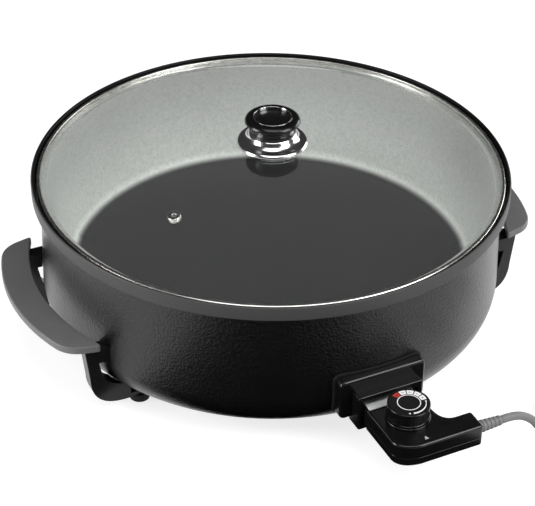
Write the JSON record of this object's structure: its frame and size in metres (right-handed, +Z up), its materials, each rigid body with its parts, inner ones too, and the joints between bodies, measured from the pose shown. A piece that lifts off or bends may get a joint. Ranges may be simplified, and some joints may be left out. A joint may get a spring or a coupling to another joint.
{
  "type": "electric skillet",
  "caption": "Round electric skillet: heated bowl in a black housing, lift-off domed glass lid with a central knob, side grips on legs, plug-in dial controller with a coiled cord.",
  "frame": {"origin": "on the pan's axis, at the underside of the base cover; the feet reach 11 mm below it", "axes": "+Z up along the pan's axis, +Y away from the socket and the controller, the two handles along X"},
  "size_m": [0.504, 0.5173, 0.1989],
  "materials": {
    "non_stick": "dark grey non-stick coating, satin",
    "textured_black": "black paint with a fine hammered texture, semi-gloss",
    "gloss_black": "glossy moulded phenolic, near black",
    "matt_black": "satin moulded plastic",
    "rubber": "matt rubber",
    "glass": "clear tempered glass",
    "steel": "bright rolled stainless steel",
    "chrome": "polished chrome",
    "brass": "plain brass",
    "aluminium": "bare aluminium",
    "ceramic": "unglazed ceramic",
    "grey_plastic": "satin grey heat-proof plastic",
    "cord_rubber": "dark grey cord sheath"
  },
  "bodies": {
    "pan": {"bowl": "non_stick", "housing": "textured_black", "base_cover": "textured_black", "base_screw_1": "steel", "base_screw_2": "steel", "base_screw_3": "steel", "heat_spreader": "aluminium", "heating_element": "steel", "element_clip_left": "steel", "element_clip_right": "steel", "terminal_pin_left": "steel", "terminal_pin_right": "steel", "terminal_insulator": "ceramic", "probe_sleeve": "aluminium", "socket_gasket": "rubber", "socket_shroud": "gloss_black", "socket_screw_left": "steel", "socket_screw_right": "steel", "left_handle": "matt_black", "right_handle": "matt_black", "left_front_leg": "gloss_black", "left_rear_leg": "gloss_black", "right_front_leg": "gloss_black", "right_rear_leg": "gloss_black", "left_front_foot": "rubber", "left_rear_foot": "rubber", "right_front_foot": "rubber", "right_rear_foot": "rubber", "left_front_handle_screw": "steel", "left_rear_handle_screw": "steel", "right_front_handle_screw": "steel", "right_rear_handle_screw": "steel"},
    "lid": {"lid_glass": "glass", "lid_rim": "steel", "vent_grommet": "steel", "knob_skirt": "chrome", "knob_cap": "gloss_black", "knob_ring": "chrome", "knob_washer": "rubber", "knob_screw": "steel"},
    "controller": {"controller_top": "gloss_black", "controller_bottom": "gloss_black", "controller_collar": "grey_plastic", "temperature_probe": "steel", "contact_left": "brass", "contact_right": "brass", "thermostat": "ceramic", "controller_screw_front": "steel", "controller_screw_arm": "steel", "strain_relief": "cord_rubber", "cord_run": "cord_rubber", "cord_coil": "cord_rubber", "cord_tie": "matt_black", "cord_tail": "cord_rubber", "plug": "matt_black", "plug_pin_1": "brass", "plug_pin_2": "brass"},
    "dial": {"dial_knob": "gloss_black", "dial_face": "matt_black", "dial_spindle": "steel"}
  },
  "joints": [
    {"name": "lid_lift", "type": "slide", "parent": "pan", "child": "lid", "axis": [0, 0, 1], "range_m": [0, 0.25]},
    {"name": "controller_pull", "type": "slide", "parent": "pan", "child": "controller", "axis": [0, -1, 0], "range_m": [0, 0.1]},
    {"name": "dial_turn", "type": "hinge", "parent": "controller", "child": "dial", "pos_m": [0.001, -0.2525, 0.045], "axis": [0, 0, 1], "range_deg": [-200, 28]}
  ]
}
